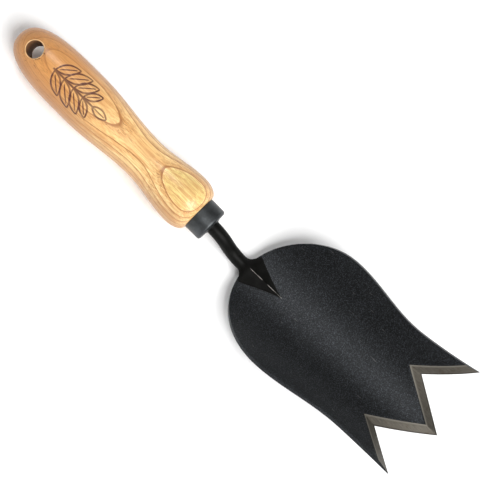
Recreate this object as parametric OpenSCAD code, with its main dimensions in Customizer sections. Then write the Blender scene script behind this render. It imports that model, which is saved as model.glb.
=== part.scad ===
// Hand trowel: a dished tulip blade on a cranked steel neck, set in a turned ash handle.
// +Y runs from the butt to the blade's point and +Z is up, on the hollow side of the blade.
// The handle's axis is level, and Z = 0 is the lowest point of the tool.

/* [Handle] */
// Length of the turned ash, from the butt to the back of the ferrule
handle_len = 138; // [112:1:170]
// Diameter at the palm swell
swell_d = 32; // [26:0.5:40]
// Length of the rounded butt, from its end to the fullest part of the swell
butt_len = 45; // [36:1:56]
// Diameter at the waist, where the fingers close
waist_d = 25; // [24:0.5:30]
// Diameter at the bulb behind the ferrule
bulb_d = 32; // [26:0.5:40]
// Length of the round shoulder, from the bulb to the ferrule
shoulder_len = 10; // [7:0.5:14]
// Diameter of the hole that the tool hangs by
hang_d = 10; // [6:0.5:13]
// Distance from the butt to the centre of the hanging hole
hang_y = 13.8; // [11:0.2:18]
// Angle by which the hanging hole is turned round the handle from upright
hang_roll = 16; // [0:1:40]

/* [Ferrule] */
// Outer diameter of the steel ferrule
ferrule_d = 20.8; // [17.2:0.2:25]
// Length of the ferrule
ferrule_len = 10.6; // [8:0.2:16]
// Thickness of the ferrule's tube
ferrule_wall = 1.2; // [0.8:0.1:1.6]
// Thickness of the ferrule's front wall
ferrule_front = 1.6; // [1:0.1:2.4]
// Radius of the ferrule's front corner
ferrule_round = 1.5; // [0.6:0.1:2]

/* [Neck] */
// Diameter of the round neck
neck_d = 8.1; // [6.6:0.1:10]
// How far the collar at the ferrule stands out from the round neck
collar_step = 0.2; // [0.1:0.05:0.4]
// How far the collar shows in front of the ferrule
collar_out = 0.8; // [0.4:0.1:1.6]
// Radius of the two bends, on the neck's centre line
bend_r = 19; // [14:0.5:26]
// How far the crank drops the neck below the handle's axis
crank_drop = 10.3; // [6:0.2:14]
// Width of the kite-shaped foot that is forged on the neck
foot_w = 18; // [14:0.5:24]
// Length of the foot from its corners forward to its point
foot_len = 23.5; // [18:0.5:30]
// Length of the tang inside the handle
tang_len = 58; // [40:1:72]
// Thickness of the square tang where it leaves the neck
tang_w = 5.4; // [4:0.1:6.4]
// Thickness of the tang at its end
tang_tip = 3; // [2:0.1:4]

/* [Blade] */
// Length of the blade, from the foot's corners to the centre point
blade_len = 136; // [114:1:165]
// Greatest width of the blade
blade_w = 78.6; // [66:0.5:96]
// Width at the narrow place behind the prongs
waist_w = 67.4; // [56:0.5:78]
// Width across the tips of the side prongs
prong_w = 71.8; // [60:0.5:88]
// Length of the round shoulders, from the rear edge to the widest place
shoulder_run = 43.6; // [36:0.5:53]
// How far the side prongs stop short of the centre point
prong_back = 5.3; // [1:0.5:8]
// Depth of the two notches, from the centre point back to their corners
notch_depth = 28; // [22:1:35]
// Distance of each notch's corner from the middle of the blade
notch_x = 18.5; // [15:0.25:22]
// Thickness of the plate
plate_t = 2.2; // [1.6:0.1:3]
// Width of the ground bevel along the notched front edge
bevel_w = 4.5; // [3:0.1:6]
// Thickness left at the sharpened edge
edge_t = 0.4; // [0.3:0.1:0.8]
// Radius of the dish across the blade at the rear
dish_rear = 65; // [56:1:90]
// Radius of the dish across the blade at the point
dish_front = 49; // [48:1:80]
// Upward slope of the blade at the foot, in degrees
blade_tilt = 11; // [4:0.5:16]
// How far the blade curves up beyond that slope at its point
point_lift = 6.9; // [3:0.5:12]

/* [Weld] */
// Thickness and reach of the weld bead under the foot
weld_size = 1.8; // [1.2:0.1:2.4]

/* [Fits] */
// Radial clearance of the neck's collar in the ferrule's hole
neck_clear = 0.15; // [0.05:0.05:0.4]
// Radial clearance of the ferrule on the handle's spigot
ferrule_clear = 0.05; // [0.02:0.01:0.1]
// Least resin round the corners of the tang
resin_wall = 0.7; // [0.4:0.1:1.2]

/* [Hidden] */
$fn = 96;
eps = 0.01;

// Handle
bulb_y = handle_len - shoulder_len;
swell_flat = 5;
waist_share = 0.59;
wood_lip = 0.3;
swell_end = butt_len + swell_flat;
waist_y = swell_end + waist_share * (bulb_y - swell_end);
lip_r = ferrule_d / 2 + wood_lip;
spigot_r = ferrule_d / 2 - ferrule_wall - ferrule_clear;
spigot_len = ferrule_len - ferrule_front;
bore_r = tang_w / sqrt(2) + resin_wall;
bore_run = 2;

// Neck: down through one bend, back up through the other to the blade's slope
neck_r = neck_d / 2;
collar_r = neck_r + collar_step;
hole_r = collar_r + neck_clear;
neck_y = handle_len + ferrule_len;
tang_y = neck_y - ferrule_front;
bore_y = tang_y - tang_len - bore_run;
bend_a = acos(1 - crank_drop / (2 * bend_r));
low_y = neck_y + 2 * bend_r * sin(bend_a);
foot_back = 8;
foot_edge = 0.6;
neck_run = 2.5;
point_r = plate_t / 2 + 0.7;
point_lap = 1;
point_stop = 10;

// Blade: its own frame has its origin on the hollow face between the foot's corners
rear_v = -3;
narrow_share = 0.54;
root_y = low_y + bend_r * sin(blade_tilt) + neck_run * cos(blade_tilt) - plate_t / 2 * sin(blade_tilt);
root_z = -crank_drop + bend_r * (1 - cos(blade_tilt)) + neck_run * sin(blade_tilt)
    + plate_t / 2 * cos(blade_tilt);
wide_v = rear_v + shoulder_run;
narrow_v = wide_v + narrow_share * (blade_len - wide_v);
prong_v = blade_len - prong_back;
notch_v = blade_len - notch_depth;
notch_s = notch_x / (waist_w / 2);
bevel_run = bevel_w * sqrt(pow(notch_x, 2) + pow(notch_depth, 2)) / notch_x;

REAR_ROWS = 10;
MAIN_ROWS = 11;
FOOT_ROWS = REAR_ROWS;
LAST_ROW = REAR_ROWS + MAIN_ROWS + 1;
HALF_COLS = 11;
NOTCH_COL = 6;

// Radius of the turned handle at a distance y from the butt
function ease(a, b, t) = a + (b - a) * (1 - cos(180 * t)) / 2;
function handle_r(y) =
    y < butt_len ? swell_d / 2 * pow(1 - pow((butt_len - y) / butt_len, 3), 0.385) :
    y < swell_end ? swell_d / 2 :
    y < waist_y ? ease(swell_d / 2, waist_d / 2, (y - swell_end) / (waist_y - swell_end)) :
    y < bulb_y ? ease(waist_d / 2, bulb_d / 2, (y - waist_y) / (bulb_y - waist_y)) :
    lip_r + (bulb_d / 2 - lip_r) * sqrt(max(0, 1 - pow((y - bulb_y) / shoulder_len, 2)));

// Half the blade's width at a distance v from the foot's corners
function half_w(v) =
    v < wide_v ? blade_w / 2 * sqrt(max(0, 1 - pow((wide_v - v) / shoulder_run, 2))) :
    v < narrow_v ? ease(blade_w / 2, waist_w / 2, (v - wide_v) / (narrow_v - wide_v)) :
    waist_w / 2 + (prong_w - waist_w) / 2 * pow((v - narrow_v) / (prong_v - narrow_v), 1.5);

// Front edge: s is 0 on the middle line and 1 on the rim
function front_v(s) =
    s < notch_s ? blade_len - notch_depth * s / notch_s :
    notch_v + (prong_v - notch_v) * (s - notch_s) / (1 - notch_s);

function col_s(j) =
    let (k = abs(j))
    sign(j) * (k <= NOTCH_COL ? notch_s * k / NOTCH_COL :
        notch_s + (1 - notch_s) * (k - NOTCH_COL) / (HALF_COLS - NOTCH_COL));
function row_v(i, s) =
    i <= REAR_ROWS ? wide_v - shoulder_run * cos(90 * i / REAR_ROWS) :
    i < LAST_ROW ? wide_v + (front_v(s) - bevel_run - wide_v) * (i - REAR_ROWS) / MAIN_ROWS :
    front_v(s);

function dish_r(v) = dish_rear + (dish_front - dish_rear) * v / blade_len;
function lift(v) = point_lift * pow(max(0, v) / blade_len, 2.5);

// A point of the plate: depth is 0 on the hollow face and plate_t on the underside
function plate_point(i, j, depth) =
    let (s = col_s(j), v = row_v(i, abs(s)), r = dish_r(v), a = asin(s * half_w(v) / r))
    [(r + depth) * sin(a), v, lift(v) + r - (r + depth) * cos(a)];
function to_tool(p) = [
    p.x,
    root_y + p.y * cos(blade_tilt) - p.z * sin(blade_tilt),
    root_z + p.y * sin(blade_tilt) + p.z * cos(blade_tilt)
];

// Overall box, which puts the origin under the middle of the tool
front_row = [for (j = [-HALF_COLS:HALF_COLS]) for (d = [plate_t - edge_t, plate_t])
    to_tool(plate_point(LAST_ROW, j, d))];
belly = [for (i = [1:LAST_ROW]) to_tool(plate_point(i, 0, plate_t))];
mid_y = max([for (p = front_row) p.y]) / 2;
ground_z = min(-max(swell_d, bulb_d) / 2, min([for (p = belly) p.z]));

module in_frame() {
    translate([0, -mid_y, -ground_z]) children();
}

module on_blade() {
    translate([0, root_y, root_z]) rotate([blade_tilt, 0, 0]) children();
}

// A cylinder along the tool's length, from one distance to another
module rod(y0, y1, r) {
    translate([0, y0, 0]) rotate([-90, 0, 0]) cylinder(h = y1 - y0, r = r);
}

// The dished plate from its rear edge to one row
module plate(last) {
    n = 2 * HALF_COLS + 1;
    m = last * n;
    pole = 2 * m;
    cells = [for (i = [0:last - 2]) for (j = [0:n - 2]) let (k = i * n + j)
        for (f = [[k, k + n, k + n + 1], [k, k + n + 1, k + 1]]) f];
    fan = [for (j = [0:n - 2]) [pole, j, j + 1]];
    // Rim as pairs of points, on the hollow face and on the underside
    rim = concat(
        [for (i = [0:last - 1]) let (k = i * n + n - 1) [k, k + m]],
        [for (j = [n - 2:-1:0]) let (k = (last - 1) * n + j) [k, k + m]],
        [for (i = [last - 2:-1:0]) [i * n, i * n + m]],
        [[pole, pole + 1]]);
    wall = [for (e = [0:len(rim) - 1]) let (a = rim[e], b = rim[(e + 1) % len(rim)])
        for (f = [[a[0], b[0], b[1]], [a[0], b[1], a[1]]]) f];
    polyhedron(
        points = concat(
            [for (i = [1:last]) for (j = [-HALF_COLS:HALF_COLS])
                plate_point(i, j, i == LAST_ROW ? plate_t - edge_t : 0)],
            [for (i = [1:last]) for (j = [-HALF_COLS:HALF_COLS]) plate_point(i, j, plate_t)],
            [plate_point(0, 0, 0), plate_point(0, 0, plate_t)]),
        faces = concat(
            cells, [for (f = cells) [f[2] + m, f[1] + m, f[0] + m]],
            fan, [for (f = fan) [f[2] + m, f[1] + m, pole + 1]],
            wall));
}

module handle() {
    color([0.91, 0.70, 0.44]) in_frame() difference() {
        union() {
            rotate([-90, 0, 0]) rotate_extrude() polygon(concat(
                [for (t = [0:15:90]) let (y = butt_len * (1 - cos(t))) [handle_r(y), y]],
                [for (y = [swell_end:(bulb_y - swell_end) / 20:bulb_y - eps]) [handle_r(y), y]],
                [for (t = [0:15:90]) let (y = bulb_y + shoulder_len * sin(t)) [handle_r(y), y]],
                [[0, handle_len]]));
            rod(handle_len - eps, handle_len + spigot_len, spigot_r);
        }
        rod(bore_y, neck_y, bore_r);
        translate([0, hang_y, 0]) rotate([0, hang_roll, 0])
            cylinder(h = 2 * swell_d, d = hang_d, center = true);
    }
}

module ferrule() {
    r = ferrule_d / 2;
    color([0.29, 0.30, 0.30]) in_frame() translate([0, handle_len, 0]) rotate([-90, 0, 0])
        rotate_extrude() union() {
            translate([hole_r, spigot_len]) square([r - ferrule_round - hole_r, ferrule_front]);
            translate([r - ferrule_wall, 0]) square([ferrule_wall, ferrule_len - ferrule_round]);
            intersection() {
                translate([r - ferrule_round, ferrule_len - ferrule_round]) circle(r = ferrule_round);
                translate([r - ferrule_round, spigot_len]) square(ferrule_round + ferrule_front);
            }
        }
}

module tang() {
    translate([0, tang_y, 0]) rotate([90, 0, 0])
        linear_extrude(height = tang_len, scale = tang_tip / tang_w) square(tang_w, center = true);
}

module tang_resin() {
    color([0.62, 0.52, 0.34]) in_frame() difference() {
        rod(bore_y, tang_y, bore_r);
        tang();
    }
}

// The crank, drawn from the place where its two bends meet: one back up to the ferrule and
// one forward to the blade's slope
module crank() {
    translate([0, neck_y + bend_r * sin(bend_a), -crank_drop / 2]) rotate([-bend_a, 0, 0]) {
        translate([0, 0, -bend_r]) mirror([0, 1, 0]) rotate([0, -90, 0])
            rotate_extrude(angle = bend_a) translate([bend_r, 0]) circle(r = neck_r);
        translate([0, 0, bend_r]) rotate([0, 90, 0])
            rotate_extrude(angle = bend_a + blade_tilt) translate([bend_r, 0]) circle(r = neck_r);
    }
}

// The neck's drawn-out point, which straddles the plate; grow thickens it for the weld
module point(grow) {
    translate([0, -neck_run - point_lap, -plate_t / 2]) rotate([-90, 0, 0])
        cylinder(h = neck_run + point_lap + foot_len - point_stop, r1 = collar_r + grow, r2 = point_r + grow);
}

// The kite-shaped foot with its centre ridge, on the hollow face
module kite() {
    ridge_h = neck_r - plate_t / 2;
    hull() {
        translate([0, 0, -plate_t / 2]) linear_extrude(plate_t / 2 + foot_edge) polygon([
            [-foot_w / 2, 0], [-neck_r, -foot_back], [neck_r, -foot_back], [foot_w / 2, 0],
            [foot_edge, foot_len], [-foot_edge, foot_len]]);
        translate([-foot_edge / 2, 0, 0]) rotate([90, 0, 90]) linear_extrude(foot_edge) polygon([
            [-foot_back, 0], [-foot_back, ridge_h], [0, ridge_h], [foot_len, foot_edge]]);
    }
}

module neck() {
    color([0.10, 0.10, 0.09]) in_frame() {
        tang();
        rod(tang_y, neck_y + collar_out, collar_r);
        difference() {
            union() {
                crank();
                on_blade() {
                    point(0);
                    kite();
                }
            }
            on_blade() plate(FOOT_ROWS);
        }
    }
}

module neck_weld() {
    color([0.14, 0.14, 0.14]) in_frame() on_blade() difference() {
        intersection() {
            point(weld_size);
            translate([0, 0, -weld_size]) plate(FOOT_ROWS);
        }
        point(0);
        kite();
        plate(FOOT_ROWS);
    }
}

module blade() {
    color([0.17, 0.17, 0.17]) in_frame() on_blade() plate(LAST_ROW);
}

handle();
ferrule();
tang_resin();
neck();
neck_weld();
blade();
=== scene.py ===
import math

import bmesh
import bpy
from mathutils import Matrix, Vector


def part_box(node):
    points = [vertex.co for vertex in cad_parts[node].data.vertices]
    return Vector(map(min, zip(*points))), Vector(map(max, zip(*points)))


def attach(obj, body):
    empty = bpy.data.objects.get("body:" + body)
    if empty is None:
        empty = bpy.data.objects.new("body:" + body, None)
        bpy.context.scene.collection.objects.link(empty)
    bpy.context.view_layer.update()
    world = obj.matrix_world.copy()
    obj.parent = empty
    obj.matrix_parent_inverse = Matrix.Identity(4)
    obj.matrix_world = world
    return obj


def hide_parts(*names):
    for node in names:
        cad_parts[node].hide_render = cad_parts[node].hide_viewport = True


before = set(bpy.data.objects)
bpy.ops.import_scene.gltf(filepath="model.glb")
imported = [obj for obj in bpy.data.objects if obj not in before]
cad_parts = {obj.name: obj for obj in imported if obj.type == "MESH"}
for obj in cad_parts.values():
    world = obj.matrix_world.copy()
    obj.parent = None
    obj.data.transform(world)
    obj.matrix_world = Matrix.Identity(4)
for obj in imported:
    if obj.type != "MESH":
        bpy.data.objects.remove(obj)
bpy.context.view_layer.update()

# ---------------------------------------------------------------------------------------------
# The view: straight down on the hollow side of the blade, rolled a little to the tool's right,
# with the tool lying corner to corner and its butt at the upper left.
MM = 0.001
ROLL = math.radians(16)
CAMERA_AWAY = 820 * MM
CAMERA_SEES = 274 * MM
ferrule_low, ferrule_high = (Vector(corner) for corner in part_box("ferrule"))
axis_z = (ferrule_low.z + ferrule_high.z) / 2
AIM_AHEAD = 15.9 * MM
AIM_ASIDE = 5.5 * MM

towards_camera = Vector((math.sin(ROLL), 0, math.cos(ROLL)))
leftwards = Vector((-math.cos(ROLL), 0, math.sin(ROLL)))
forwards = Vector((0, 1, 0))
picture_right = (forwards + leftwards).normalized()
picture_up = (leftwards - forwards).normalized()
aim = Vector((0, AIM_AHEAD, axis_z)) + leftwards * AIM_ASIDE

lens = bpy.data.cameras.new("camera")
lens.angle = 2 * math.atan(CAMERA_SEES / 2 / CAMERA_AWAY)
camera = bpy.data.objects.new("camera", lens)
bpy.context.collection.objects.link(camera)
camera.matrix_world = Matrix.Translation(aim + towards_camera * CAMERA_AWAY) @ Matrix(
    (picture_right, picture_up, towards_camera)).transposed().to_4x4()
bpy.context.scene.camera = camera
bpy.context.scene.view_settings.view_transform = "Standard"


# ---------------------------------------------------------------------------------------------
# The table and the light: a pale table top inside a low, round backdrop that glows a little. A
# large soft lamp stands beyond the blade's point, a smaller one behind the butt, and the smallest
# one ahead of the ferrule.
class Finish:
    """A material, with one method that adds any node and links its sockets."""

    # The Mix node has several sockets of each name, so its colour sockets go by number
    MIX_A, MIX_B, MIX_RESULT = 6, 7, 2

    def __init__(self, name):
        self.material = bpy.data.materials.new(name)
        self.material.use_nodes = True
        self.tree = self.material.node_tree
        self.shader = self.tree.nodes["Principled BSDF"]

    def set(self, node, inputs):
        for name, value in inputs.items():
            if isinstance(value, Value):
                self.tree.links.new(value.socket, node.inputs[name])
            elif isinstance(value, bpy.types.NodeSocket):
                self.tree.links.new(value, node.inputs[name])
            else:
                node.inputs[name].default_value = value

    def node(self, kind, settings=None, inputs=None):
        node = self.tree.nodes.new(kind)
        for name, value in (settings or {}).items():
            setattr(node, name, value)
        self.set(node, inputs or {})
        return node

    def place(self):
        return self.node("ShaderNodeTexCoord").outputs["Object"]

    def split(self, vector):
        parts = self.node("ShaderNodeSeparateXYZ", inputs={"Vector": vector})
        return [Value(self, socket) for socket in parts.outputs]

    def stretched(self, vector, scale):
        return self.node("ShaderNodeMapping", inputs={"Vector": vector, "Scale": scale}).outputs[0]

    def noise(self, vector, scale, detail=2.0, rough=0.5):
        made = self.node("ShaderNodeTexNoise", inputs={
            "Vector": vector, "Scale": scale, "Detail": detail, "Roughness": rough})
        return Value(self, made.outputs[0])

    def rise(self, value, low, high):
        """Goes smoothly from 0 to 1 as the value goes from low to high."""
        made = self.node("ShaderNodeMapRange", {"interpolation_type": "SMOOTHSTEP"}, {
            "Value": value, "From Min": low, "From Max": high})
        return Value(self, made.outputs[0])

    def mix(self, factor, first, second):
        made = self.node("ShaderNodeMix", {"data_type": "RGBA"}, {
            "Factor": factor, self.MIX_A: first, self.MIX_B: second})
        return made.outputs[self.MIX_RESULT]

    def bump(self, height, depth):
        return self.node("ShaderNodeBump", inputs={
            "Height": height, "Distance": depth, "Strength": 1.0}).outputs[0]

    def coat(self, **inputs):
        self.set(self.shader, {name.replace("_", " "): value for name, value in inputs.items()})


class Value:
    """A number that varies over a surface, so that shader maths reads as an expression."""

    def __init__(self, finish, socket):
        self.finish = finish
        self.socket = socket

    def math(self, operation, *others):
        inputs = dict(enumerate((self,) + others))
        return Value(self.finish, self.finish.node(
            "ShaderNodeMath", {"operation": operation}, inputs).outputs[0])

    def reversed_math(self, operation, other):
        return Value(self.finish, self.finish.node(
            "ShaderNodeMath", {"operation": operation}, {0: other, 1: self}).outputs[0])

    def __add__(self, other):
        return self.math("ADD", other)

    def __radd__(self, other):
        return self.math("ADD", other)

    def __sub__(self, other):
        return self.math("SUBTRACT", other)

    def __rsub__(self, other):
        return self.reversed_math("SUBTRACT", other)

    def __mul__(self, other):
        return self.math("MULTIPLY", other)

    def __rmul__(self, other):
        return self.math("MULTIPLY", other)

    def __truediv__(self, other):
        return self.math("DIVIDE", other)

    def __pow__(self, other):
        return self.math("POWER", other)

    def __abs__(self):
        return self.math("ABSOLUTE")


def paint(red, green, blue):
    """A colour given as it looks, from 0 to 255, as the shader's own light values."""
    parts = [channel / 255 for channel in (red, green, blue)]
    return tuple(((c + 0.055) / 1.055) ** 2.4 if c > 0.04 else c / 12.92 for c in parts) + (1.0,)


bpy.ops.object.select_all(action="DESELECT")
TABLE_SIZE = 6
TABLE_GAP = 0.5 * MM
bpy.ops.mesh.primitive_plane_add(size=TABLE_SIZE, location=(0, 0, -TABLE_GAP))
table = bpy.context.object
table.name = "table_top"
tabletop = Finish("pale_table")
tabletop.coat(Base_Color=(0.98, 0.98, 0.98, 1), Roughness=0.9)
table.data.materials.append(tabletop.material)

BACKDROP_RADIUS = 2.9
BACKDROP_HEIGHT = 1.4
BACKDROP_SUNK = 0.01
bpy.ops.mesh.primitive_cylinder_add(
    vertices=96, radius=BACKDROP_RADIUS, depth=BACKDROP_HEIGHT, end_fill_type="NOTHING",
    location=(0, 0, BACKDROP_HEIGHT / 2 - BACKDROP_SUNK))
backdrop = bpy.context.object
backdrop.name = "backdrop"
glow = Finish("pale_backdrop")
glow.coat(Base_Color=(0.9, 0.9, 0.9, 1), Roughness=0.9,
          Emission_Color=(1, 1, 1, 1), Emission_Strength=0.32)
backdrop.data.materials.append(glow.material)


def softbox(name, towards, away, size, power):
    """A square lamp that faces the middle of the tool."""
    lamp = bpy.data.lights.new(name, "AREA")
    lamp.shape = "SQUARE"
    lamp.size = size
    lamp.energy = power
    holder = bpy.data.objects.new(name, lamp)
    bpy.context.collection.objects.link(holder)
    direction = Vector(towards).normalized()
    holder.location = Vector((0, 0, axis_z)) + direction * away
    holder.rotation_euler = direction.to_track_quat("Z", "Y").to_euler()


softbox("lamp_over_point", (0.24, 0.60, 0.82), 1.6, 1.1, 35)
softbox("lamp_over_ferrule", (0.27, 0.27, 0.92), 1.5, 0.25, 3.5)
softbox("lamp_over_handle", (-0.20, -0.48, 0.85), 1.5, 0.5, 6.5)
world = bpy.data.worlds.new("room")
world.use_nodes = True
world.node_tree.nodes["Background"].inputs["Color"].default_value = (1, 1, 1, 1)
world.node_tree.nodes["Background"].inputs["Strength"].default_value = 0.03
bpy.context.scene.world = world


# ---------------------------------------------------------------------------------------------
# Blade: one plate of boron steel, cut as a tulip, pressed into a trough and lacquered black.
# Its notched front edge is ground to a bevel from the hollow side, down to bare metal.
PLATE = 2.2 * MM
BLADE_LENGTH = 136 * MM
BLADE_WIDTH = 78.6 * MM
WAIST_WIDTH = 67.4 * MM
PRONG_WIDTH = 71.8 * MM
SHOULDER_RUN = 43.6 * MM
NARROW_SHARE = 0.54
REAR_EDGE = -3 * MM
PRONG_BACK = 5.3 * MM
NOTCH_DEPTH = 28 * MM
NOTCH_ASIDE = 18.5 * MM
BEVEL_WIDTH = 4.5 * MM
KEEN_EDGE = 0.4 * MM
DISH_REAR = 65 * MM
DISH_FRONT = 49 * MM
TILT = math.radians(11)
POINT_LIFT = 6.9 * MM
LIFT_POWER = 2.5
FLARE_POWER = 1.5

BEND = 19 * MM
DROP = 10.3 * MM
NECK_RUN = 2.5 * MM
BEND_ANGLE = math.acos(1 - DROP / (2 * BEND))
neck_start = ferrule_high.y
low_y = neck_start + 2 * BEND * math.sin(BEND_ANGLE)
blade_root = Vector((
    0,
    low_y + BEND * math.sin(TILT) + NECK_RUN * math.cos(TILT) - PLATE / 2 * math.sin(TILT),
    axis_z - DROP + BEND * (1 - math.cos(TILT)) + NECK_RUN * math.sin(TILT)
    + PLATE / 2 * math.cos(TILT)))
on_blade = Matrix.Translation(blade_root) @ Matrix.Rotation(TILT, 4, "X")

wide_place = REAR_EDGE + SHOULDER_RUN
narrow_place = wide_place + NARROW_SHARE * (BLADE_LENGTH - wide_place)
prong_place = BLADE_LENGTH - PRONG_BACK
notch_share = NOTCH_ASIDE / (WAIST_WIDTH / 2)
bevel_run = BEVEL_WIDTH * math.hypot(NOTCH_ASIDE, NOTCH_DEPTH) / NOTCH_ASIDE


def ease(start, end, part):
    return start + (end - start) * (1 - math.cos(math.pi * part)) / 2


def half_width(place):
    """Half the blade's width at a distance from the foot's corners."""
    if place < wide_place:
        return BLADE_WIDTH / 2 * max(0, 1 - ((wide_place - place) / SHOULDER_RUN) ** 2) ** 0.5
    if place < narrow_place:
        part = (place - wide_place) / (narrow_place - wide_place)
        return ease(BLADE_WIDTH / 2, WAIST_WIDTH / 2, part)
    flare = (place - narrow_place) / (prong_place - narrow_place)
    return WAIST_WIDTH / 2 + (PRONG_WIDTH - WAIST_WIDTH) / 2 * flare ** FLARE_POWER


def front_edge(share):
    """Where the notched edge is, from 0 on the middle line to 1 on the rim."""
    if share < notch_share:
        return BLADE_LENGTH - NOTCH_DEPTH * share / notch_share
    along = (share - notch_share) / (1 - notch_share)
    return BLADE_LENGTH - NOTCH_DEPTH + (NOTCH_DEPTH - PRONG_BACK) * along


def pressed(share, place, depth=0.0):
    """A point of the plate after pressing; depth goes from the hollow face to the underside."""
    radius = DISH_REAR + (DISH_FRONT - DISH_REAR) * place / BLADE_LENGTH
    angle = math.asin(share * half_width(place) / radius)
    rise = POINT_LIFT * (max(0, place) / BLADE_LENGTH) ** LIFT_POWER
    reach = radius + depth
    return on_blade @ Vector((
        reach * math.sin(angle), place, rise + radius - reach * math.cos(angle)))


def start_piece(name, add, **settings):
    """Adds a primitive as a new piece, with nothing else selected."""
    bpy.ops.object.select_all(action="DESELECT")
    add(**settings)
    piece = bpy.context.object
    piece.name = name
    piece.data.name = name
    return piece


def select_edges(piece, wanted):
    """Goes into edit mode with only the wanted edges selected; wanted is asked of each edge."""
    bpy.ops.object.mode_set(mode="EDIT")
    bpy.ops.mesh.select_mode(type="EDGE")
    bpy.ops.mesh.select_all(action="DESELECT")
    mesh = bmesh.from_edit_mesh(piece.data)
    for edge in mesh.edges:
        edge.select_set(wanted(edge))
    bmesh.update_edit_mesh(piece.data)


def add_modifier(kind, **settings):
    modifier = bpy.context.object.modifiers.new(kind.lower(), kind)
    for name, value in settings.items():
        setattr(modifier, name, value)
    bpy.ops.object.modifier_apply(modifier=modifier.name)


MERGE_WITHIN = 0.002 * MM


def close_up():
    """Merges doubled points, fills open ends and turns every face outwards."""
    bpy.ops.object.mode_set(mode="EDIT")
    bpy.ops.mesh.select_mode(type="VERT")
    bpy.ops.mesh.select_all(action="SELECT")
    bpy.ops.mesh.remove_doubles(threshold=MERGE_WITHIN)
    bpy.ops.mesh.dissolve_degenerate(threshold=MERGE_WITHIN)
    bpy.ops.mesh.select_all(action="DESELECT")
    bpy.ops.mesh.select_non_manifold(extend=False)
    bpy.ops.mesh.edge_face_add()
    bpy.ops.mesh.select_all(action="SELECT")
    bpy.ops.mesh.normals_make_consistent(inside=False)
    bpy.ops.object.mode_set(mode="OBJECT")


def smooth(angle):
    bpy.ops.object.shade_smooth_by_angle(angle=math.radians(angle))


LACQUER_SLOT, STEEL_SLOT, RIM_SLOT = range(3)
REAR_ROWS = 20
MAIN_ROWS = 34
BEVEL_ROWS = 3
HALF_COLUMNS = 28
NOTCH_COLUMN = 15
heel_row = REAR_ROWS + MAIN_ROWS
rows = heel_row + BEVEL_ROWS
columns = 2 * HALF_COLUMNS


def column_share(column):
    step = column - HALF_COLUMNS
    if abs(step) <= NOTCH_COLUMN:
        return notch_share * step / NOTCH_COLUMN
    beyond = (abs(step) - NOTCH_COLUMN) / (HALF_COLUMNS - NOTCH_COLUMN)
    return math.copysign(notch_share + (1 - notch_share) * beyond, step)


def row_place(row, share):
    if row <= REAR_ROWS:
        return wide_place - SHOULDER_RUN * math.cos(math.pi / 2 * row / REAR_ROWS)
    heel = front_edge(abs(share)) - bevel_run
    if row <= heel_row:
        return wide_place + (heel - wide_place) * (row - REAR_ROWS) / MAIN_ROWS
    return heel + bevel_run * (row - heel_row) / BEVEL_ROWS


blade = start_piece("blade_plate", bpy.ops.mesh.primitive_grid_add,
                    x_subdivisions=columns, y_subdivisions=rows, size=2, calc_uvs=True)
cut_sheet = [(round((v.co.x + 1) / 2 * columns), round((v.co.y + 1) / 2 * rows))
             for v in blade.data.vertices]
hollow_face = []
underside = []
for column, row in cut_sheet:
    share = column_share(column)
    place = row_place(row, share)
    ground = (PLATE - KEEN_EDGE) * max(0, row - heel_row) / BEVEL_ROWS
    hollow_face.append(pressed(share, place, ground))
    underside.append(pressed(share, place, PLATE))
grind_map = blade.data.uv_layers.active
edge_step = math.hypot(NOTCH_ASIDE, NOTCH_DEPTH) / NOTCH_COLUMN
for loop in blade.data.loops:
    column, row = cut_sheet[loop.vertex_index]
    ground_in = (row - heel_row) * BEVEL_WIDTH / BEVEL_ROWS
    grind_map.data[loop.index].uv = (column * edge_step, ground_in)
add_modifier("SOLIDIFY", thickness=0.01, offset=-1)
for vertex, spot in zip(blade.data.vertices, hollow_face + underside):
    vertex.co = spot
for face in blade.data.polygons:
    rows_of_face = [cut_sheet[i % len(cut_sheet)][1] for i in face.vertices]
    on_hollow_face = all(i < len(cut_sheet) for i in face.vertices)
    is_ground = min(rows_of_face) >= heel_row and (on_hollow_face or min(rows_of_face) == rows)
    face.material_index = STEEL_SLOT if is_ground else LACQUER_SLOT
close_up()

# The rim is rounded over on both faces, but not along the ground edge, and its lacquer is worn and
# carries a painted highlight
RIM_ROUNDING = 0.45 * MM
SHARP = math.radians(55)
select_edges(blade, lambda edge: edge.calc_face_angle(0) > SHARP
             and all(face.material_index == LACQUER_SLOT for face in edge.link_faces))
bpy.ops.mesh.bevel(offset=RIM_ROUNDING, segments=3, affect="EDGES", clamp_overlap=True,
                   material=RIM_SLOT)
bpy.ops.object.mode_set(mode="OBJECT")
smooth(32)

lacquer = Finish("black_lacquer")
spot = lacquer.place()
soot, coal = (0.0012, 0.0012, 0.0009, 1), (0.0022, 0.0023, 0.0022, 1)
bright_flake, scratch_grey = (0.066, 0.071, 0.080, 1), (0.10, 0.10, 0.10, 1)
grit = lacquer.noise(spot, 1900, 2, 0.7)
cast = lacquer.noise(spot, 260, 3, 0.55)
mottle = lacquer.noise(spot, 45, 3, 0.6)
hair = lacquer.noise(lacquer.stretched(spot, (220, 26, 60)), 6, 2, 0.4)
scratch = lacquer.rise(hair, 0.735, 0.76)
tint = lacquer.mix(lacquer.rise(mottle, 0.35, 0.7), soot, coal)
flake = lacquer.rise(grit, 0.48, 0.68)
tint = lacquer.mix(flake, tint, bright_flake)
tint = lacquer.mix(scratch * 0.5, tint, scratch_grey)
lacquer.coat(
    Base_Color=tint, Metallic=flake * 0.95, Specular_IOR_Level=0.3, Specular_Tint=(0.9, 0.95, 1, 1),
    Roughness=0.31 + 0.08 * mottle,
    Normal=lacquer.bump(grit * 0.5 + cast * 0.4 + scratch * -0.2, 0.2 * MM))

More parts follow.
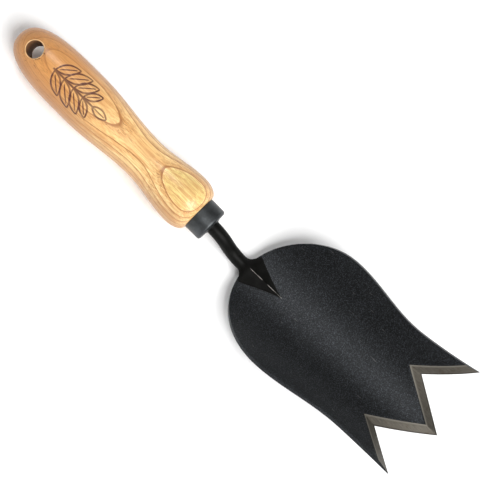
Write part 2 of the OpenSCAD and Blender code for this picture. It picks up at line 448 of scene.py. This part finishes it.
bare_steel = Finish("ground_steel")
strokes = bare_steel.node("ShaderNodeUVMap").outputs["UV"]
ground_in = bare_steel.split(strokes)[1]
stroke = bare_steel.noise(bare_steel.stretched(strokes, (5200, 260, 1)), 1, 4, 0.65)
tarnish = bare_steel.noise(bare_steel.place(), 170, 4, 0.6)
steel = bare_steel.mix(bare_steel.rise(stroke, 0.25, 0.8), paint(66, 63, 57), paint(108, 103, 94))
steel = bare_steel.mix(bare_steel.rise(tarnish, 0.5, 0.75) * 0.5, steel, paint(66, 54, 42))
at_heel = 1 - bare_steel.rise(ground_in, 0.1 * MM, 1.2 * MM)
# Painted shadow: a dark line along the keen outer edge of the bevel
edge_shadow_line = bare_steel.rise(ground_in, 0.82 * BEVEL_WIDTH, BEVEL_WIDTH)
steel = bare_steel.mix(at_heel * 0.6, steel, paint(140, 136, 126))
steel = bare_steel.mix(edge_shadow_line * 0.8, steel, paint(34, 30, 26))
bare_steel.coat(
    Base_Color=steel, Metallic=0.75, Roughness=0.38 + 0.2 * stroke,
    Normal=bare_steel.bump(stroke, 0.04 * MM))
blade.data.materials.append(lacquer.material)
blade.data.materials.append(bare_steel.material)

# The rounded rim is rubbed through to pale metal in places, and these pale patches are also a
# painted highlight along the rim
rim_wear_and_highlight = Finish("rim_wear_and_highlight")
rubbed_and_highlit = rim_wear_and_highlight.rise(rim_wear_and_highlight.noise(rim_wear_and_highlight.place(), 240, 3, 0.6), 0.35, 0.6)
rim_tint = rim_wear_and_highlight.mix(rubbed_and_highlit, paint(70, 70, 67), paint(205, 205, 200))
rim_wear_and_highlight.coat(Base_Color=rim_tint, Metallic=0.6 * rubbed_and_highlit, Roughness=0.45)
blade.data.materials.append(rim_wear_and_highlight.material)
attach(blade, "root")
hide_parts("blade")


# ---------------------------------------------------------------------------------------------
# Neck: one forging of black steel. A square tang runs back into the handle, a round bar is
# cranked down to the blade, and its end is spread into a ridged, kite-shaped foot.
NECK_RADIUS = 4.05 * MM
COLLAR_RADIUS = 4.25 * MM
COLLAR_OUT = 0.8 * MM
TANG_LENGTH = 58 * MM
TANG_WIDTH = 5.4 * MM
TANG_END = 3 * MM
FERRULE_FRONT = 1.6 * MM
FOOT_BACK = -9 * MM
FOOT_CORNER = -0.5 * MM
FOOT_POINT = 23.5 * MM
FOOT_HALF_WIDTH = 10 * MM
FOOT_POINT_HALF_WIDTH = 0.2 * MM
FOOT_LIP = 0.45 * MM
FOOT_SKIRT = 0.2 * MM
FACET_HOLLOW = 0.35 * MM
FOOT_FLARE_POWER = 2.4
FOOT_TAPER_POWER = 1.2
RIDGE_POWER = 0.9
NOSE_STOP = 13.5 * MM
NOSE_END_RADIUS = 1.8 * MM
KEEL_RADIUS = 0.5 * MM

# Steps round half a section: down a facet, in to the nose and round the nose
FACET = 8
INWARD = 4
NOSE = 8
half_ring = FACET + 1 + INWARD + NOSE


def foot_half_width(place):
    if place < FOOT_CORNER:
        flare = max(0, (place - FOOT_BACK) / (FOOT_CORNER - FOOT_BACK))
        return NECK_RADIUS + (FOOT_HALF_WIDTH - NECK_RADIUS) * flare ** FOOT_FLARE_POWER
    taper = (place - FOOT_CORNER) / (FOOT_POINT - FOOT_CORNER)
    spread = FOOT_HALF_WIDTH - FOOT_POINT_HALF_WIDTH
    return FOOT_POINT_HALF_WIDTH + spread * (1 - taper) ** FOOT_TAPER_POWER


def kite_section(step, place):
    """One side of the foot's section, from the ridge round to the bottom, about the bar's axis."""
    width = foot_half_width(place)
    along_nose = max(0, place + NECK_RUN) / (NOSE_STOP + NECK_RUN)
    nose = NECK_RADIUS + (NOSE_END_RADIUS - NECK_RADIUS) * along_nose
    if place > NOSE_STOP:
        nose = KEEL_RADIUS
    nose = min(nose, width)
    dish = width ** 2 / (2 * DISH_REAR)
    lip = PLATE / 2 + dish + FOOT_LIP
    reach = max(0, place) / FOOT_POINT
    ridge = NECK_RADIUS + (PLATE / 2 + FOOT_LIP - NECK_RADIUS) * reach ** RIDGE_POWER
    if step <= FACET:
        part = step / FACET
        sag = FACET_HOLLOW * math.sin(math.pi * part) * (1 - reach)
        return width * part, ridge + (lip - ridge) * part - sag
    if step == FACET + 1:
        return width, dish + FOOT_SKIRT
    if step <= FACET + 1 + INWARD:
        part = (step - FACET - 1) / INWARD
        return width + (nose - width) * part, (dish + FOOT_SKIRT) * (1 - part)
    angle = math.pi / 2 * (step - FACET - 1 - INWARD) / NOSE
    return nose * math.cos(angle), -nose * math.sin(angle)


def round_section(step, radius):
    angle = math.pi / 2 - math.pi * step / half_ring
    return radius * math.cos(angle), radius * math.sin(angle)


def square_section(step, width):
    across, up = round_section(step, 1)
    reach = width / 2 / max(abs(across), abs(up))
    return across * reach, up * reach


def blend(first, second, part):
    return tuple(a + (b - a) * part for a, b in zip(first, second))


def bar_place(y, z, pitch):
    """A place on the bar's axis, with the bar pointing up by pitch."""
    return Matrix.Translation((0, y, axis_z + z)) @ Matrix.Rotation(pitch, 4, "X")


def foot_section(place):
    """The section near the foot: round at first, and spread to the kite by its corners."""
    fade = min(1, max(0, (place - FOOT_BACK) / (FOOT_CORNER - FOOT_BACK)))
    fade = fade * fade * (3 - 2 * fade)
    return lambda step: blend(round_section(step, NECK_RADIUS), kite_section(step, place), fade)


# The stations of the bar from the tang's end to the foot's point, each a place and a section
TANG_STEPS = 8
COLLAR_EDGE = 0.2 * MM
BEND_STEPS = 16
FOOT_STEPS = 32
tang_start = neck_start - FERRULE_FRONT
collar_end = neck_start + COLLAR_OUT
bar = []
for step in range(TANG_STEPS + 1):
    back = 1 - step / TANG_STEPS
    width = TANG_WIDTH + (TANG_END - TANG_WIDTH) * back
    bar.append((bar_place(tang_start - TANG_LENGTH * back, 0, 0),
                lambda s, w=width: square_section(s, w)))
for y, radius in ((tang_start, COLLAR_RADIUS), (collar_end - COLLAR_EDGE, COLLAR_RADIUS),
                  (collar_end, COLLAR_RADIUS - COLLAR_EDGE / 2), (collar_end, NECK_RADIUS)):
    bar.append((bar_place(y, 0, 0), lambda s, r=radius: round_section(s, r)))
for step in range(1, BEND_STEPS + 1):
    turn = BEND_ANGLE * step / BEND_STEPS
    ahead, down = BEND * math.sin(turn), BEND * (1 - math.cos(turn))
    if ahead > 1.2 * COLLAR_OUT:
        bar.append((bar_place(neck_start + ahead, -down, -turn),
                    lambda s: round_section(s, NECK_RADIUS)))
for step in range(1, BEND_STEPS + 1):
    turn = -BEND_ANGLE + (BEND_ANGLE + TILT) * step / BEND_STEPS
    bar.append((bar_place(low_y + BEND * math.sin(turn), -DROP + BEND * (1 - math.cos(turn)), turn),
                foot_section((turn - TILT) * BEND - NECK_RUN)))
for step in range(1, FOOT_STEPS + 1):
    place = -NECK_RUN + (FOOT_POINT + NECK_RUN) * step / FOOT_STEPS
    bar.append((on_blade @ Matrix.Translation((0, place, -PLATE / 2)), foot_section(place)))


def drawn(name, around, stations, spot):
    """A sheet rolled into a tube: spot gives each point's place, by its step round and along."""
    tube = start_piece(name, bpy.ops.mesh.primitive_grid_add,
                       x_subdivisions=around, y_subdivisions=stations - 1, size=2)
    for vertex in tube.data.vertices:
        vertex.co = spot(round((vertex.co.x + 1) / 2 * around),
                         round((vertex.co.y + 1) / 2 * (stations - 1)))
    close_up()
    return tube


def neck_spot(step, station):
    frame_here, section = bar[station]
    side = 1 if step <= half_ring else -1
    across, up = section(step if step <= half_ring else 2 * half_ring - step)
    return frame_here @ Vector((side * across, 0, up))


neck = drawn("neck_forging", 2 * half_ring, len(bar), neck_spot)
smooth(28)
forged = Finish("forged_black")
spot = forged.place()
scale_grain = forged.noise(spot, 1100, 3, 0.6)
dimple = forged.noise(spot, 190, 2, 0.5)
across, along_tool, height = (part * (1 / MM) for part in forged.split(spot))
kite_back = (on_blade @ Vector((0, FOOT_CORNER, 0))).y / MM
on_ridge = 1 - forged.rise(abs(across), 0.04, 0.17)
on_kite = forged.rise(along_tool, kite_back - 1, kite_back + 2)
# Along the kite's ridge the black skin is worn to pale steel, and this pale line is also a painted
# highlight on the ridge
ridge_wear_and_highlight = on_ridge * on_kite * forged.rise(dimple, 0.4, 0.6)
pit, skin = (0.0022, 0.0022, 0.0018, 1), (0.0045, 0.0045, 0.004, 1)
tint = forged.mix(forged.rise(dimple, 0.35, 0.7), pit, skin)
tint = forged.mix(ridge_wear_and_highlight * 0.8, tint, paint(196, 194, 188))
forged.coat(
    Base_Color=tint, Specular_IOR_Level=0.08, Metallic=ridge_wear_and_highlight * 0.5,
    Roughness=0.4 + 0.14 * scale_grain,
    Normal=forged.bump(scale_grain * 0.4 + dimple, 0.12 * MM))
neck.data.materials.append(forged.material)
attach(neck, "root")
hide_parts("neck")


# ---------------------------------------------------------------------------------------------
# Weld: a rippled bead of steel under the blade, run down one side of the neck's nose, round its
# end and back up the other side.
BEAD_RADIUS = 1.5 * MM
BEAD_LENGTH = 40 * MM
BEAD_SUNK = 0.1 * MM
BEAD_FLATNESS = 0.75
RIPPLE = 1.7 * MM
RIPPLE_DEPTH = 0.09
TURN_OUT = 0.5 * MM
LOOK_AHEAD = 0.004
END_TAPER = 14
THINNEST = 0.05
BEAD_STEPS = 132
BEAD_ROUND = 16
bead_sides = NOSE_STOP + NECK_RUN


def bead_route(part):
    """The bead's line on the underside: across and along the blade, from 0 to 1."""
    end_turn = math.pi * (NOSE_END_RADIUS + TURN_OUT)
    run = part * (2 * bead_sides + end_turn)
    if run < bead_sides:
        return -1, run / bead_sides, 0
    if run > bead_sides + end_turn:
        return 1, 1 - (run - bead_sides - end_turn) / bead_sides, 0
    return 0, 1, math.pi * (run - bead_sides) / end_turn


def bead_centre(part):
    side, along, turn = bead_route(part)
    half = NECK_RADIUS + (NOSE_END_RADIUS - NECK_RADIUS) * along
    place = -NECK_RUN + bead_sides * along
    if side == 0:
        across, place = -half * math.cos(turn), place + half * math.sin(turn)
    else:
        across = side * half
    return Vector((across, place, -PLATE - BEAD_SUNK + across ** 2 / (2 * DISH_REAR)))


def bead_spot(step, station):
    part = station / BEAD_STEPS
    here = bead_centre(part)
    ahead = (bead_centre(min(1, part + LOOK_AHEAD))
             - bead_centre(max(0, part - LOOK_AHEAD))).normalized()
    sideways = ahead.cross(Vector((0, 0, 1))).normalized()
    end = min(1, END_TAPER * part, END_TAPER * (1 - part)) ** 0.5
    wave = 1 + RIPPLE_DEPTH * math.cos(2 * math.pi * part * BEAD_LENGTH / RIPPLE)
    angle = 2 * math.pi * step / BEAD_ROUND
    bulge = Vector((0, 0, 1)) * math.sin(angle) * BEAD_FLATNESS + sideways * math.cos(angle)
    return on_blade @ (here + bulge * BEAD_RADIUS * wave * max(THINNEST, end))


weld = drawn("neck_weld_bead", BEAD_ROUND, BEAD_STEPS + 1, bead_spot)
smooth(60)
weld.data.materials.append(forged.material)
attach(weld, "root")
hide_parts("neck_weld")


# ---------------------------------------------------------------------------------------------
# Ferrule: a drawn steel cup with a rounded front corner and a raised lip round the neck,
# pressed over the handle's spigot. It is blued to a gunmetal grey.
FERRULE_RADIUS = 10.4 * MM
FERRULE_WALL = 1.2 * MM
FERRULE_CORNER = 1.5 * MM
LIP_BASE = 1.5 * MM
LIP_FLANK = 1.2 * MM
LIP_FLANK_OUT = 0.1 * MM
LIP_ROUND = 0.5 * MM
LIP_OUT = 0.35 * MM
EDGE_BREAK = 0.25 * MM
NECK_PLAY = 0.15 * MM
shoulder_y = ferrule_low.y
TURNS = 128


def turned(name, profile):
    """A closed outline of radius and length, spun round the handle's axis."""
    piece = start_piece(name, bpy.ops.mesh.primitive_circle_add, vertices=len(profile), radius=1)
    for vertex, (radius, y) in zip(piece.data.vertices, profile):
        vertex.co = (radius, y, axis_z)
    bpy.ops.object.mode_set(mode="EDIT")
    bpy.ops.mesh.select_all(action="SELECT")
    bpy.ops.mesh.spin(steps=TURNS, angle=2 * math.pi, center=(0, 0, axis_z), axis=(0, 1, 0))
    bpy.ops.object.mode_set(mode="OBJECT")
    close_up()
    return piece


def arc(radius, y, reach, start, stop, steps):
    """Points of a round corner, by its centre, its radius and its two angles."""
    return [(radius + reach * math.cos(math.radians(a)), y + reach * math.sin(math.radians(a)))
            for a in (start + (stop - start) * k / steps for k in range(steps + 1))]


inner = FERRULE_RADIUS - FERRULE_WALL
hole = COLLAR_RADIUS + NECK_PLAY
front = neck_start
ferrule_profile = (
    [(inner, shoulder_y), (FERRULE_RADIUS - EDGE_BREAK, shoulder_y),
     (FERRULE_RADIUS, shoulder_y + EDGE_BREAK)]
    + arc(FERRULE_RADIUS - FERRULE_CORNER, front - FERRULE_CORNER, FERRULE_CORNER, 0, 90, 8)
    + [(hole + LIP_BASE, front), (hole + LIP_FLANK, front + LIP_FLANK_OUT)]
    + arc(hole + LIP_ROUND, front + LIP_OUT - LIP_ROUND, LIP_ROUND, 60, 180, 6)
    + [(hole, front - FERRULE_FRONT), (inner, front - FERRULE_FRONT)])
ferrule = turned("ferrule_cup", ferrule_profile)
smooth(35)
gunmetal = Finish("gunmetal")
spot = gunmetal.place()
drawn_lines = gunmetal.noise(gunmetal.stretched(spot, (30, 900, 30)), 3, 3, 0.6)
blotch = gunmetal.noise(spot, 220, 3, 0.6)
tint = gunmetal.mix(gunmetal.rise(blotch, 0.3, 0.75), paint(62, 64, 65), paint(76, 79, 81))
gunmetal.coat(
    Base_Color=tint, Metallic=0.85,
    Roughness=0.38 + 0.05 * blotch + 0.08 * drawn_lines,
    Normal=gunmetal.bump(drawn_lines * 0.5 + blotch * 0.3, 0.03 * MM))
ferrule.data.materials.append(gunmetal.material)
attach(ferrule, "root")
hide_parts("ferrule")


# ---------------------------------------------------------------------------------------------
# Handle: ash, turned to a palm swell, a waist and a bulb, with a spigot for the ferrule and a
# blind bore for the tang. It is drilled to hang up, marked with a burnt sprig and varnished.
handle_low = Vector(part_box("handle")[0])
butt_y = handle_low.y
SWELL_RADIUS = 16 * MM
BUTT_LENGTH = 45 * MM
BUTT_POWER = 3
BUTT_FULLNESS = 0.385
WAIST_RADIUS = 12.5 * MM
BULB_RADIUS = 16 * MM
SHOULDER_LENGTH = 10 * MM
SWELL_FLAT = 5 * MM
WAIST_SHARE = 0.59
WOOD_LIP = 0.3 * MM
SPIGOT_PLAY = 0.05 * MM
SPIGOT_CHAMFER = 0.4 * MM
BORE_PLAY = 0.7 * MM
BORE_SPARE = 2 * MM
BORE_CONE = 1.5 * MM
HANG_HOLE_RADIUS = 5 * MM
HANG_HOLE_PLACE = 13.8 * MM
MOUTH_ROUNDING = 0.6 * MM
handle_length = shoulder_y - butt_y
bulb_place = handle_length - SHOULDER_LENGTH
swell_place = BUTT_LENGTH + SWELL_FLAT
waist_place = swell_place + WAIST_SHARE * (bulb_place - swell_place)
lip_radius = FERRULE_RADIUS + WOOD_LIP
spigot_radius = inner - SPIGOT_PLAY
bore_radius = TANG_WIDTH / math.sqrt(2) + BORE_PLAY
bore_end = tang_start - TANG_LENGTH - BORE_SPARE


def handle_radius(place):
    """Radius of the turned wood at a distance from the butt."""
    if place < BUTT_LENGTH:
        closing = ((BUTT_LENGTH - place) / BUTT_LENGTH) ** BUTT_POWER
        return SWELL_RADIUS * max(0, 1 - closing) ** BUTT_FULLNESS
    if place < swell_place:
        return SWELL_RADIUS
    if place < waist_place:
        return ease(SWELL_RADIUS, WAIST_RADIUS, (place - swell_place) / (waist_place - swell_place))
    if place < bulb_place:
        return ease(WAIST_RADIUS, BULB_RADIUS, (place - waist_place) / (bulb_place - waist_place))
    fall = math.sqrt(max(0, 1 - ((place - bulb_place) / SHOULDER_LENGTH) ** 2))
    return lip_radius + (BULB_RADIUS - lip_radius) * fall


MOUTH_SHARP = math.radians(40)
ON_WALL = 0.02 * MM
BUTT_STEPS = 40
BODY_STEPS = 72
SHOULDER_STEPS = 16
places = [BUTT_LENGTH * (1 - math.cos(math.pi / 2 * k / BUTT_STEPS)) for k in range(BUTT_STEPS)]
places += [BUTT_LENGTH + (bulb_place - BUTT_LENGTH) * k / BODY_STEPS for k in range(BODY_STEPS)]
places += [bulb_place + SHOULDER_LENGTH * math.sin(math.pi / 2 * k / SHOULDER_STEPS)
           for k in range(SHOULDER_STEPS + 1)]
spigot_end = front - FERRULE_FRONT
handle_profile = (
    [(handle_radius(place), butt_y + place) for place in places]
    + [(spigot_radius, shoulder_y), (spigot_radius, spigot_end - SPIGOT_CHAMFER),
       (spigot_radius - SPIGOT_CHAMFER, spigot_end), (bore_radius, spigot_end),
       (bore_radius, bore_end + BORE_CONE), (0, bore_end)])
handle = turned("ash_handle", handle_profile)

drill = start_piece("drill", bpy.ops.mesh.primitive_cylinder_add, vertices=64,
                    radius=HANG_HOLE_RADIUS, depth=4 * SWELL_RADIUS,
                    location=(0, butt_y + HANG_HOLE_PLACE, axis_z), rotation=(0, ROLL, 0))
bpy.ops.object.select_all(action="DESELECT")
handle.select_set(True)
bpy.context.view_layer.objects.active = handle
add_modifier("BOOLEAN", object=drill, operation="DIFFERENCE", solver="EXACT")
bpy.data.objects.remove(drill)


def on_hole_mouth(edge):
    near = [math.hypot(v.co.x * math.cos(ROLL) - (v.co.z - axis_z) * math.sin(ROLL),
                       v.co.y - butt_y - HANG_HOLE_PLACE) for v in edge.verts]
    return (all(abs(n - HANG_HOLE_RADIUS) < ON_WALL for n in near)
            and edge.calc_face_angle(0) > MOUTH_SHARP)


select_edges(handle, on_hole_mouth)
bpy.ops.mesh.bevel(offset=MOUTH_ROUNDING, segments=3, affect="EDGES")
bpy.ops.object.mode_set(mode="OBJECT")
smooth(35)

# The wood's figure, in mm: rings about a pith far below the handle, so that a ring breaks
# through the top of the bulb as a pale eye
ash = Finish("varnished_ash")
PITH_DEPTH = 62
RING_WIDTH = 2.4
EYE_DEPTH = 2.3
EYE_BACK = 3
RING_SLOPE = 0.012
place = ash.place()
x, y, z = (part * (1 / MM) for part in ash.split(place))
along = y - butt_y / MM
up = z - axis_z / MM
bend = ash.noise(ash.stretched(place, (1, 0.22, 1)), 26, 2, 0.5)
waver = ash.noise(ash.stretched(place, (1, 0.12, 1)), 160, 2, 0.5)
from_pith = ((x + 1) ** 2 + (up + PITH_DEPTH) ** 2) ** 0.5
eye_place = bulb_place / MM - EYE_BACK
depth = PITH_DEPTH + BULB_RADIUS / MM - from_pith + (bend - 0.5) * 1.1 + (waver - 0.5) * 0.5
sloped = depth + (eye_place - along) * RING_SLOPE
ring = ((sloped - EYE_DEPTH) / RING_WIDTH).math("MAXIMUM", -0.25)
phase = ring.math("FRACT")
line = ash.rise(phase, 0.0, 0.04) * (1 - ash.rise(phase, 0.06, 0.2))
early = ash.rise(phase, 0.0, 0.1) * (1 - ash.rise(phase, 0.15, 0.8))
in_eye = 1 - ash.rise(ring, -0.2, 0.03)
fibre = ash.noise(ash.stretched(place, (1, 0.018, 1)), 2400, 3, 0.6)
streak = ash.noise(ash.stretched(place, (1, 0.03, 1)), 560, 4, 0.65)
pore = ash.noise(ash.stretched(place, (1, 0.06, 1)), 3000, 1, 0.4)
pores = ash.rise(pore, 0.60, 0.70) * (0.2 + 0.8 * early)
cloud = ash.noise(ash.stretched(place, (1, 0.35, 1)), 60, 3, 0.55)
honey = ash.mix(ash.rise(along, 82, 30), paint(250, 220, 158), paint(204, 146, 86))
honey = ash.mix(ash.rise(cloud, 0.42, 0.62) * 0.45, honey, paint(226, 166, 98))
honey = ash.mix(in_eye * ash.rise(along, 92, 108), honey, paint(230, 206, 136))
wood = ash.mix(ash.rise(streak, 0.45, 0.6) * 0.55, honey, paint(196, 138, 82))
# Painted shade: the wood is darker and browner towards both flanks and towards the butt, where the
# round handle turns away from the light
shade_on_flanks_and_butt = ash.rise(abs(x), 8, 16) * 0.6 + ash.rise(along, 30, 0) * 0.4
wood = ash.mix(shade_on_flanks_and_butt, wood, paint(150, 102, 62))
wood = ash.mix(early * 0.35, wood, paint(192, 128, 70))
wood = ash.mix(line * (0.5 + 0.3 * ash.rise(along, 40, 75)), wood, paint(138, 82, 44))
wood = ash.mix(ash.rise(fibre, 0.42, 0.6) * 0.5, wood, paint(176, 122, 70))
wood = ash.mix(pores * 0.75, wood, paint(120, 78, 44))

# The wall of the hanging hole is raw, unvarnished wood, and its dark colour is partly that raw wood
# and partly painted shade inside the bore, and its mouth is pale
hole_aside = x * math.cos(ROLL) - up * math.sin(ROLL)
hole_far = (hole_aside ** 2 + (along - HANG_HOLE_PLACE / MM) ** 2) ** 0.5
hole_wall = HANG_HOLE_RADIUS / MM
in_hole = 1 - ash.rise(hole_far, hole_wall + 0.02, hole_wall + 0.25)
on_mouth = 1 - ash.rise(hole_far, hole_wall + 0.5, hole_wall + 0.8)
round_mouth = 1 - ash.rise(hole_far, hole_wall + 0.7, hole_wall + 1.3)
wood = ash.mix(round_mouth * 0.4, wood, paint(150, 98, 56))
wood = ash.mix(on_mouth * 0.8, wood, paint(240, 196, 140))
# Painted shade in part: the bore's wall is darkened where little light reaches into the hole
wood = ash.mix(in_hole * 0.9, wood, paint(104, 66, 40))

# The burnt mark: a sprig of leaves on the swell, drawn along and round the handle
SPRIG_PLACE = 44
SPRIG_HALF = 21
LINE = 0.58
along_sprig = along - SPRIG_PLACE
around_sprig = (x.math("ARCTAN2", up) - ROLL) * (SWELL_RADIUS / MM)


def stroke_line(distance, width):
    return 1 - ash.rise(abs(distance), width * 0.6, width * 1.3)


def leaf(start, aside, angle, length, width):
    """A leaf outline with its vein; it starts on the stem and leans out by the angle."""
    turn = math.radians(angle)
    ahead = along_sprig - start
    out = abs(around_sprig) - aside
    run = (ahead * math.cos(turn) + out * math.sin(turn)) / (length / 2) - 1
    across = out * math.cos(turn) - ahead * math.sin(turn)
    inside = 1 - ash.rise(abs(run), 0.98, 1.04)
    edge = abs(across) - (1 - run * run) * width
    vein = stroke_line(across, LINE * 0.6) * (1 - ash.rise(abs(run), 0.6, 0.75))
    return stroke_line(edge, LINE).math("MAXIMUM", vein) * inside


on_stem = 1 - ash.rise(abs(along_sprig), SPRIG_HALF * 0.72, SPRIG_HALF * 0.76)
burn = stroke_line(around_sprig, LINE) * on_stem
for start, length in ((-14, 14), (-7, 15.5), (0, 14), (7, 11)):
    burn = burn.math("MAXIMUM", leaf(start, 0.3, 44, length, length * 0.2))
burn = burn.math("MAXIMUM", leaf(SPRIG_HALF * 0.66, 0, 0, 10.5, 2.4))
burn = burn * ash.rise(up, 0, 2)
scorch = burn * (0.72 + 0.28 * ash.rise(streak, 0.35, 0.6))
wood = ash.mix(scorch * 0.92, wood, paint(70, 30, 32))
ash.coat(
    Base_Color=wood, Roughness=0.42 + 0.1 * fibre + 0.2 * in_hole,
    Coat_Weight=0.35 - 0.3 * in_hole, Coat_Roughness=0.22, Specular_IOR_Level=0.35,
    Normal=ash.bump(pores * -0.25 + fibre * 0.12 - burn * 0.9, 0.18 * MM))
handle.data.materials.append(ash.material)
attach(handle, "root")
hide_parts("handle")


# ---------------------------------------------------------------------------------------------
# Tang resin: amber casting resin that fills the bore round the square tang. It keeps the frame's
# own solid and takes a clouded finish.
resin = Finish("amber_resin")
clouds = resin.noise(resin.place(), 320, 3, 0.6)
amber = resin.mix(clouds, paint(122, 92, 48), paint(168, 134, 82))
resin.coat(
    Base_Color=amber, Roughness=0.3 + 0.2 * clouds,
    Normal=resin.bump(clouds, 0.05 * MM))
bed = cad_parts["tang_resin"]
bed.data.materials.clear()
bed.data.materials.append(resin.material)
